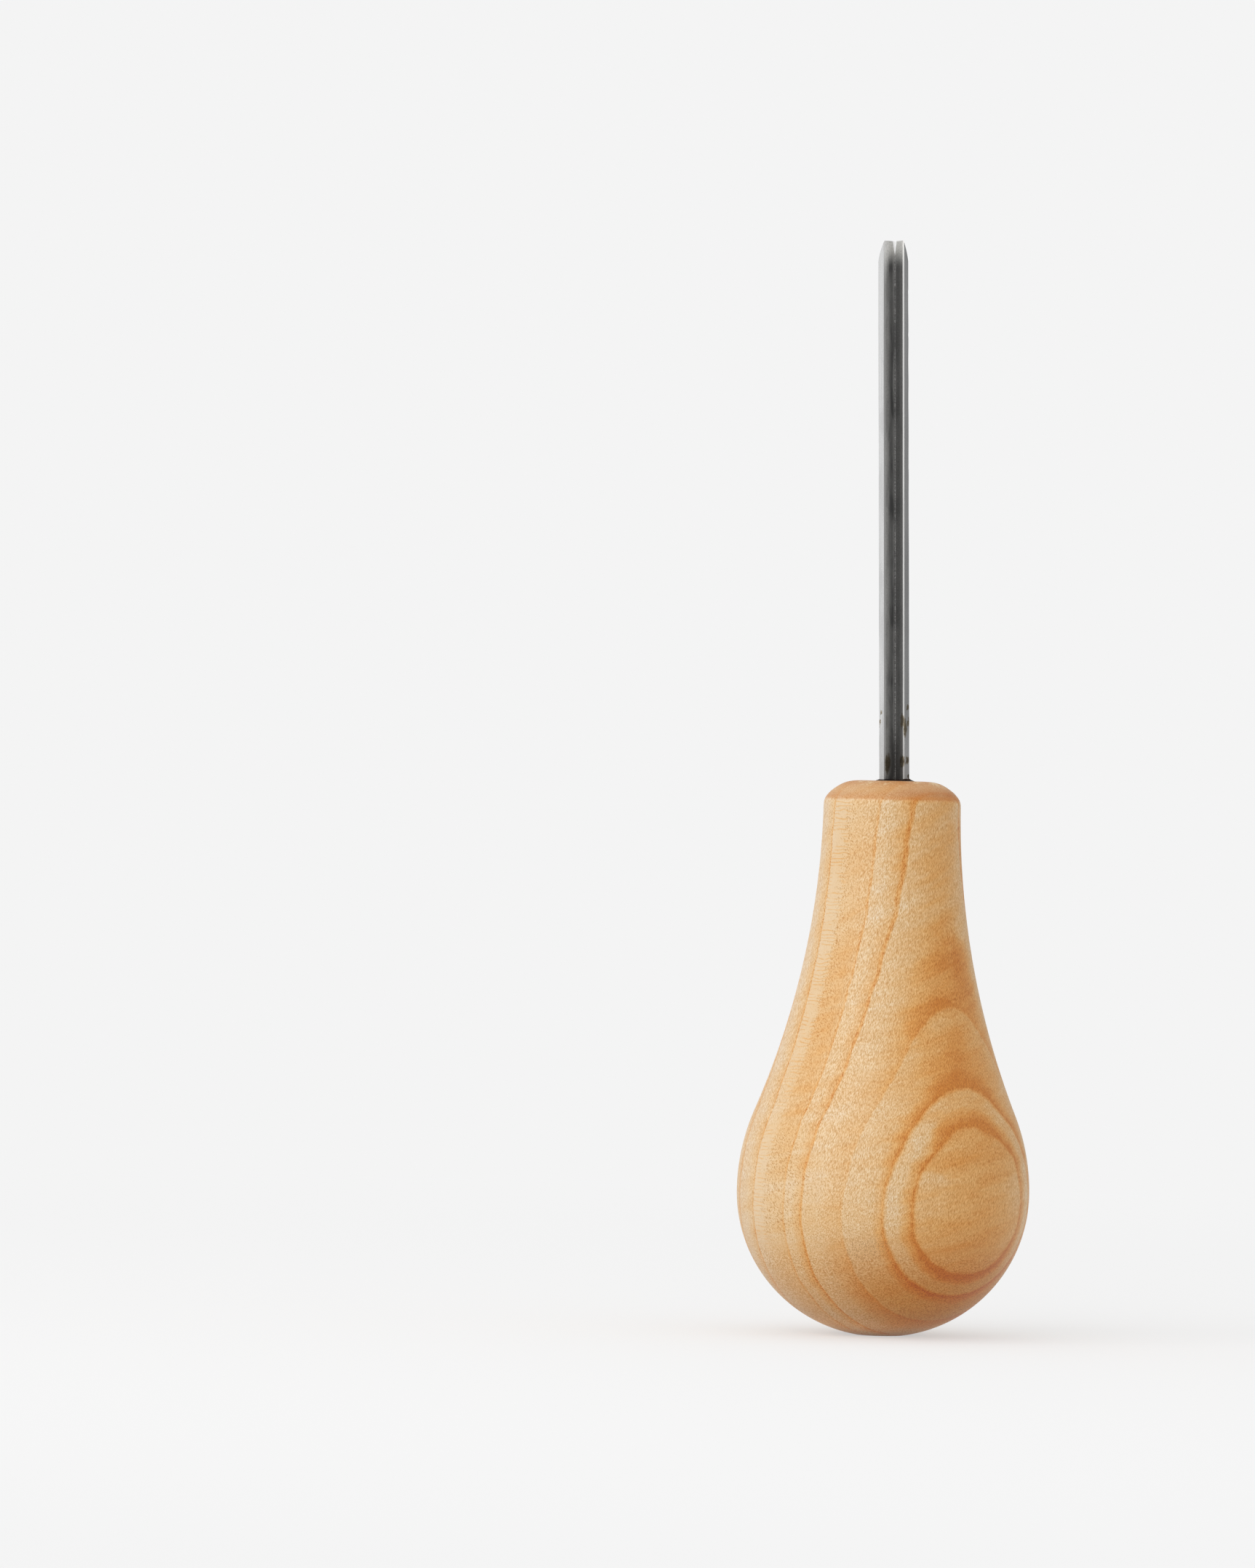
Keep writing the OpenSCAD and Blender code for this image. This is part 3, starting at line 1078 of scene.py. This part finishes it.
def oiled_hardwood():
    """The handle's material."""
    material = new_material("oiled_hardwood")
    net = Net(material)
    wood = find_in_tree(net)
    draw_rays(net, wood)
    draw_clouds(net, wood)
    colour = mark_wood(net, wood, wood_colour(net, wood))
    relief = wood.mottle * wood.end_grain * 0.8 - wood.dark_dash * (1 - wood.strip) * 0.15
    roughness = 0.46 + wood.dark_dash * 0.08 + wood.end_grain * 0.12 - wood.strip * 0.08
    sockets = {
        "Base Color": colour,
        "Roughness": roughness,
        "Normal": net.bump(relief, 0.10, 0.04 * MM),
        "Coat Weight": 0.06,
        "Coat Roughness": 0.3,
    }
    net.surface(net.principled(sockets))
    return material


handle.data.materials.append(oiled_hardwood())
print("wood nodes", len(handle.data.materials[0].node_tree.nodes))

# %% [markdown]
# Ground tool steel: scratches
#
# The blade was ground lengthwise, so its scratches run along it: noise that is squeezed across
# the blade and stretched along it gives them. The lands and the channel are two materials from
# one recipe, and the number in_channel, 1 or 0, says which one is being made.

# %% Place on the blade
# Height in the section at which the outer walls start, below the lands
OUTSIDE_Y = (land_fall - bore_y) / MM
OUTSIDE_FADE = 0.3
MIDDLE_FADE = 0.03


def find_on_blade(net, in_channel):
    """Where a point lies on the blade, with the noises of its scratches, smudges and grain."""
    steel = SimpleNamespace(in_channel=in_channel)
    _, (x, y, z) = net.axes()
    steel.x, steel.y, steel.z = x, y, z
    steel.past_tip = z - blade_len / MM
    steel.off = x - z * (CHANNEL_SHIFT / blade_len)
    steel.away = net.maths("ABSOLUTE", steel.off)
    steel.left = 1 - net.step(steel.off, -MIDDLE_FADE, MIDDLE_FADE)
    steel.outside = net.step(y, OUTSIDE_Y, OUTSIDE_Y + OUTSIDE_FADE) * (1 - in_channel)
    steel.lines = net.noise(net.vector(x * 9.0, y * 9.0, z * 0.05), 1.0, 3.0, 0.7)
    steel.fine_lines = net.noise(net.vector(x * 30.0, y * 30.0, z * 0.35), 1.0, 2.0, 0.6)
    smudge = net.noise(net.vector(x * 0.8, y * 0.8, z * 0.16), 1.0, 3.0, 0.6)
    steel.smudge = net.step(smudge, 0.42, 0.68)
    steel.grain = net.noise(net.vector(x * 7.0, y * 7.0, z * 6.0), 1.0, 2.0, 0.7)
    return steel


print(f"outer walls start {OUTSIDE_Y:.2f} mm from the bore's axis")

# %% [markdown]
# Ground tool steel: bright lands, dark channel
#
# The lands are bright from the last grinding, and the right one is painted darker towards the
# handle, as painted shade for the darker reflection it shows there. The walls of the channel
# were left darker. Old polish lies in smudges on them, and a dark band low on the left wall and a
# row of dark beads along the bottom are painted shade deep in the channel. Towards the tip the
# honing cleaned the walls, and the top of the left one is rubbed bright. Close to the handle all
# of the steel is painted darker, as painted shade.

# %% Tone of the steel
STEEL_BRIGHT = grey(0.45)
STEEL_CHANNEL = (0.52, 0.515, 0.505, 1)
# Dark of the marks on the steel; in the band and the beads deep in the channel it is painted shade
STEEL_GRIME_AND_SHADE = (0.10, 0.10, 0.10, 1)
STEEL_HONED = (0.74, 0.73, 0.70, 1)
STEEL_POLISHED = (0.95, 0.945, 0.93, 1)
# Painted shade close to the handle
HANDLE_SHADE = (0.55, 0.53, 0.51, 1)
# Painted shade for the right land
RIGHT_LAND_SHADE = grey(0.75)
# Distances past the tip, so below 0, over which the steel becomes clean or rubbed
CLEAN_END = (-3.8, -0.6)
RUBBED_END = (-7.0, -1.5)
# Distances from the channel's middle: end of its walls, and the two flanks of the band of painted shade
WALL_END = (1.10, 1.16)
BAND_OUTER = (-1.15, -0.40)
BAND_INNER = (-0.36, 0.0)
BEAD_HALF_W = (0.05, 0.14)
RIGHT_LAND = (1.2, 1.4)
# Heights along the blade
HANDLE_SHADE_END = (0.0, 9.0)
RIGHT_SHADE_START = (3.0, 8.0)
RIGHT_SHADE_END = (25.0, 66.0)


def steel_colour(net, steel, tone):
    """Grime, painted shade and polish over the plain tone of the steel."""
    in_channel, z, off, away, left = steel.in_channel, steel.z, steel.off, steel.away, steel.left
    steel.clean = net.step(steel.past_tip, *CLEAN_END)
    wall = (1 - net.step(away, *WALL_END)) * in_channel
    # Painted shade: a dark band low on the left wall, deep in the channel, with smudges of old polish
    band = net.step(off, *BAND_OUTER) * (1 - net.step(off, *BAND_INNER) * 0.7) * left
    grime_and_shade = (left * 0.05 + band * 0.80 + steel.smudge * 0.25) * wall * (1 - steel.clean * 0.9)
    rubbed = net.step(steel.past_tip, *RUBBED_END) * net.step(away, 0.3, 1.1) * left
    # Painted shade: a dotted row of dark beads along the channel's bottom
    bottom_shade = net.step(steel.grain, 0.38, 0.56) * (1 - net.step(away, *BEAD_HALF_W)) * wall

    colour = net.mix(steel.clean * 0.9 * in_channel, tone, STEEL_HONED)
    colour = net.mix(rubbed * in_channel * 0.7, colour, STEEL_POLISHED)
    dark_marks = (
        grime_and_shade,
        net.step(steel.lines, 0.55, 0.8) * 0.25,
        net.step(steel.grain, 0.40, 0.75) * (0.08 + wall * 0.35),
        bottom_shade * (1 - steel.clean) * 0.7,
    )
    for share in dark_marks:
        colour = net.mix(share, colour, STEEL_GRIME_AND_SHADE)
    # Painted shade: all of the steel is darker close to the handle, most on the left wall of the channel
    handle_shade = (1 - net.step(z, *HANDLE_SHADE_END)) * (0.45 + left * wall * 0.3)
    colour = net.tint(handle_shade, colour, HANDLE_SHADE)
    # Painted shade: the right land is darker towards the handle, for the darker reflection it shows there
    right_land = net.step(steel.x, *RIGHT_LAND) * (1 - steel.outside) * (1 - in_channel)
    right_land_shade = right_land * net.step(z, *RIGHT_SHADE_START) * (1 - net.step(z, *RIGHT_SHADE_END))
    return net.tint(right_land_shade, colour, RIGHT_LAND_SHADE)


print("steel tones ready")

# %% [markdown]
# Ground tool steel: residue and hone
#
# Brown residue sits on the steel close to the handle, as a thin stain with darker specks. Its
# patches are placed one by one and broken up by two noises, and they are fainter on the outer
# walls. At the cutting edge a small honed facet opens the bottom of the channel, where the
# last strokes of the hone met; it is painted near white, as a painted highlight.

# %% Residue and hone
RESIDUE = (0.026, 0.020, 0.012, 1)
RESIDUE_TINT = (0.46, 0.39, 0.28, 1)
OUTSIDE_FAINT = 0.45
# Middle across the blade and along it, half width and half length, and strength
RESIDUE_SPOTS = (
    (1.05, 7.85, 0.31, 0.90, 1.0),
    (1.43, 6.90, 0.26, 1.14, 0.8),
    (1.80, 9.70, 0.17, 0.36, 0.8),
    (1.84, 7.70, 0.14, 0.54, 0.7),
    (1.02, 2.50, 0.38, 0.84, 0.8),
    (1.72, 2.75, 0.22, 0.54, 1.0),
    (-0.93, 2.30, 0.34, 1.32, 0.8),
    (1.81, 0.52, 0.17, 0.22, 1.3),
    (-1.72, 8.90, 0.14, 0.19, 0.8),
    (-1.84, 7.80, 0.11, 0.38, 0.8),
)
# Painted highlight on the honed facet
HONE_HIGHLIGHT = grey(0.98)
HONE_LEN = 2.3
HONE_FULL = 1.6
HONE_HALF_W = 0.25


def stain_steel(net, steel, colour):
    """Lays the residue over the steel."""
    x, y, z = steel.x, steel.y, steel.z
    speck = net.noise(net.vector(x * 5.0, y * 5.0, z * 2.6), 1.0, 3.0, 0.7) - 0.5
    smear = net.noise(net.vector(x * 2.2, y * 2.2, z * 0.9), 1.0, 2.0, 0.6) - 0.5
    across = x + smear * 0.5 + speck * 0.3
    along = z + smear * 1.6 + speck * 1.2
    stain = 0.0
    for side, height, half_side, half_height, strength in RESIDUE_SPOTS:
        patch = net.spot(across, along, (side, height), (half_side, half_height)) * strength
        stain = net.maths("MAXIMUM", patch, stain)
    stain = stain * (1 - steel.outside * OUTSIDE_FAINT)
    steel.residue = net.step(stain * 1.1 + speck * 2.4, 0.7, 1.2)
    colour = net.tint(net.step(stain + speck * 0.3, 0.0, 0.7), colour, RESIDUE_TINT)
    return net.mix(steel.residue * 0.85, colour, RESIDUE)


def hone_tip(net, steel, colour):
    """Lays the honed facet over the bottom of the channel, painted near white as a painted highlight; it
    widens towards the edge.
    """
    half_w = HONE_HALF_W * net.step(steel.past_tip, -HONE_LEN, 0.0)
    bottom = net.step(half_w - steel.away, -0.02, 0.05) * net.step(steel.y, 0.2, 0.4)
    steel.hone = bottom * net.step(steel.past_tip, -HONE_LEN, -HONE_FULL)
    # Painted highlight: the honed facet is painted near white
    return net.mix(steel.hone, colour, HONE_HIGHLIGHT)


print("residue patches", len(RESIDUE_SPOTS))

# %% [markdown]
# Ground tool steel: two materials on one blade
#
# The recipe is used twice, and each face of the blade gets one of the two by where it lies in
# the section. The chamfers between the lands and the channel belong to the channel's steel.

# %% Ground tool steel
BRIGHT_ROUGH = 0.22
CHANNEL_ROUGH = 0.34
# The channel's faces look towards its mouth, so their normals stay under this along y
MOST_FACING = 0.3


def ground_steel(name, tone, in_channel, rough):
    """One of the blade's two materials."""
    material = new_material(name)
    net = Net(material)
    steel = find_on_blade(net, in_channel)
    colour = stain_steel(net, steel, steel_colour(net, steel, tone))
    colour = hone_tip(net, steel, colour)
    residue, hone, lines = steel.residue, steel.hone, steel.lines
    roughness = rough + (lines - 0.5) * 0.18 + steel.smudge * 0.08 + residue * 0.3 + hone * 0.2
    # The honed facet is taken off the metal, so that its painted highlight stays white
    metallic = 1 - residue * 0.8 - hone - steel.clean * in_channel * (1 - hone) * 0.5
    relief = lines + steel.fine_lines * 0.5 + steel.grain * 0.6 + residue * 1.5
    sockets = {
        "Base Color": colour,
        "Metallic": metallic,
        "Roughness": roughness,
        "Normal": net.bump(relief, 0.15, 0.02 * MM),
    }
    net.surface(net.principled(sockets))
    return material


def dress_blade():
    """Gives the faces of the channel and its chamfers the dark steel, and the rest the bright."""
    blade.data.materials.append(ground_steel("ground_steel", STEEL_BRIGHT, 0.0, BRIGHT_ROUGH))
    blade.data.materials.append(ground_steel("channel_steel", STEEL_CHANNEL, 1.0, CHANNEL_ROUGH))
    in_channel = 0
    for face in blade.data.polygons:
        middle, facing = face.center, face.normal
        off = abs(middle.x - channel_shift(middle.z))
        inside = off < crest_x and middle.y + bore_y > 0.0
        if inside and facing.y < MOST_FACING:
            face.material_index = 1
            in_channel += 1
    return in_channel


print("channel faces", dress_blade())

# %% [markdown]
# Dark glue
#
# Cured adhesive is nearly black, a little brown in soft clouds, and dulled by dust with
# small pits in it. It shows only as a thin ring round the blade.

# %% Dark glue
GLUE_DARK = (0.018, 0.013, 0.012, 1)
GLUE_BROWN = (0.06, 0.034, 0.022, 1)


def dark_glue():
    """The adhesive's material."""
    material = new_material("dark_glue")
    net = Net(material)
    place, _ = net.axes()
    clouds = net.noise(place, 1.4, 3.0, 0.6)
    pits = net.step(net.noise(place, 7.0, 2.0), 0.62, 0.75)
    sockets = {
        "Base Color": net.mix(net.step(clouds, 0.4, 0.7), GLUE_DARK, GLUE_BROWN),
        "Roughness": 0.55 + clouds * 0.2 + pits * 0.2,
        "Normal": net.bump(clouds - pits * 0.5, 0.3, 0.05 * MM),
        "Specular IOR Level": 0.06,
    }
    net.surface(net.principled(sockets))
    return material


glue.data.materials.append(dark_glue())
print("glue dressed")

# %% [markdown]
# The studio
#
# The tool stands on a plain pale floor in front of a plain pale backdrop. The floor adds a
# little light of its own for the camera, so that it meets the backdrop without an edge, and
# the rest of its tone is real light, so that the tool's shadow still falls on it. A large
# soft panel on the left is the main light, and the pale room fills the right side. In
# reflections the front of the room is darker than the back, because that is where the camera
# stands, and so the steel gets something darker to mirror.

# %% Floor, world and lamps
BACKDROP = 0.905
FLOOR_TONE = 0.62
FLOOR_SEEN_TONE = 0.45
FLOOR_GLOW = 0.50
FLOOR_HALF = 12.0
# Distance from the tool, in millimetres, over which the floor melts into the backdrop
FLOOR_FADE = (120.0, 420.0)
ROOM_LIGHT = 0.84
# Ways to the dim right side of the room and to its back
DIM_SIDE = (0.90, 0.44, 0.0)
BACK_SIDE = (0, 1, 0)
MIRROR_DIM = 0.5
FRONT_MIRROR = 0.45
KEY_POWER = 9.0
KEY_SIZE = 1.6
KEY_BEARING = math.radians(-40)
KEY_HEIGHT = math.radians(22)
KEY_FAR = 1.25
# Height that the panel looks at, as a share of the handle
KEY_AIM = 0.6


def lay_floor():
    """A broad floor whose far part melts into the backdrop."""
    mesh = bpy.data.meshes.new("studio_floor")
    corners = ((-1, -1), (1, -1), (1, 1), (-1, 1))
    mesh.from_pydata([(x * FLOOR_HALF, y * FLOOR_HALF, 0) for x, y in corners], [], [(0, 1, 2, 3)])
    floor = add_piece("studio_floor", mesh)
    material = new_material("studio_floor")
    net = Net(material)
    place, _ = net.axes()
    far = net.step(net.length(place), *FLOOR_FADE)
    shows = net.maths("MAXIMUM", *net.ray_kinds())
    tone = net.mix(shows, grey(FLOOR_TONE), grey(FLOOR_SEEN_TONE))
    matt = net.put("ShaderNodeBsdfDiffuse", None, {"Color": tone})
    glow = net.put("ShaderNodeEmission", None, {"Color": grey(1.0), "Strength": shows * FLOOR_GLOW})
    near = net.put("ShaderNodeAddShader", None, {0: matt, 1: glow})
    flat = net.put("ShaderNodeEmission", None, {"Color": grey(BACKDROP), "Strength": 1.0})
    net.surface(net.put("ShaderNodeMixShader", None, {0: far * shows, 1: near, 2: flat}))
    mesh.materials.append(material)


def light_room():
    """A pale room that the camera and shiny surfaces see, and a soft light from all round."""
    world = bpy.data.worlds.new("studio_room")
    bpy.context.scene.world = world
    net = Net(world)
    look = net.put("ShaderNodeTexCoord", out=0)
    seen, mirrored = net.ray_kinds()
    dim = net.step(net.dot(look, DIM_SIDE), 0.2, 0.9)
    unseen = (1 - seen) * (1 - mirrored) * ROOM_LIGHT
    behind = net.step(net.dot(look, BACK_SIDE), -0.3, 0.3)
    mirror = (FRONT_MIRROR + behind * (1 - FRONT_MIRROR)) * (1 - dim * MIRROR_DIM)
    strength = seen + mirrored * mirror + unseen
    light = net.put("ShaderNodeBackground", None, {"Color": grey(BACKDROP), "Strength": strength})
    net.put("ShaderNodeOutputWorld", None, {"Surface": light})


def hang_key_panel():
    """A square soft lamp that looks at the upper half of the handle."""
    lamp = bpy.data.lights.new("key_panel", "AREA")
    lamp.shape = "SQUARE"
    lamp.size = KEY_SIZE
    lamp.energy = KEY_POWER
    panel = add_piece("key_panel", lamp)
    level = Vector((math.sin(KEY_BEARING), -math.cos(KEY_BEARING), 0))
    way = level * math.cos(KEY_HEIGHT) + Vector((0, 0, math.sin(KEY_HEIGHT)))
    panel.location = Vector((0, 0, handle_len * KEY_AIM)) + way * KEY_FAR
    panel.rotation_mode = "QUATERNION"
    panel.rotation_quaternion = way.to_track_quat("Z", "Y")


lay_floor()
light_room()
hang_key_panel()
print(f"studio ready, key panel {KEY_FAR} m away")

# %% [markdown]
# The camera
#
# The picture was taken with a long lens, level with the neck of the handle. The tool stands
# right of the middle and the camera is rolled a touch, so that the blade is upright and the
# handle leans. A pixel of the picture is a fixed number of millimetres at the tool, and the
# camera is placed from that, with no lens shift.

# %% Camera
FRAME_W, FRAME_H = 1725, 2156
MM_PER_PIXEL = 0.0955
AXIS_PIXEL_X = 1227.2
BUTT_PIXEL_Y = 1834.8
LENS = 200.0
SENSOR = 36.0
CAMERA_BEARING = math.radians(6.1)
ROLL = math.radians(1.38)
NEAR_CLIP = 0.05
FAR_CLIP = 100.0


def set_camera():
    """Places the camera so that the tool's axis and butt fall on their pixels."""
    data = bpy.data.cameras.new("camera")
    data.lens, data.sensor_width = LENS, SENSOR
    camera = add_piece("camera", data)
    bpy.context.scene.camera = camera
    back = Vector((math.sin(CAMERA_BEARING), -math.cos(CAMERA_BEARING), 0))
    level_right = Vector((math.cos(CAMERA_BEARING), math.sin(CAMERA_BEARING), 0))
    upright = Vector((0, 0, 1))
    right = level_right * math.cos(ROLL) + upright * math.sin(ROLL)
    up = upright * math.cos(ROLL) - level_right * math.sin(ROLL)
    neck_right = (AXIS_PIXEL_X - FRAME_W / 2) * MM_PER_PIXEL * MM
    butt_top = (FRAME_H / 2 - BUTT_PIXEL_Y) * MM_PER_PIXEL * MM
    neck_top = butt_top + handle_len * math.cos(ROLL)
    neck = Vector((0, 0, handle_len))
    far = FRAME_H * MM_PER_PIXEL * MM / SENSOR * LENS
    camera.location = neck - right * neck_right - up * neck_top + back * far
    camera.rotation_mode = "QUATERNION"
    camera.rotation_quaternion = Matrix((right, up, back)).transposed().to_quaternion()
    data.clip_start = NEAR_CLIP
    data.clip_end = FAR_CLIP


set_camera()
bpy.context.scene.view_settings.view_transform = "Standard"
print("camera at", [round(value, 3) for value in bpy.context.scene.camera.location])
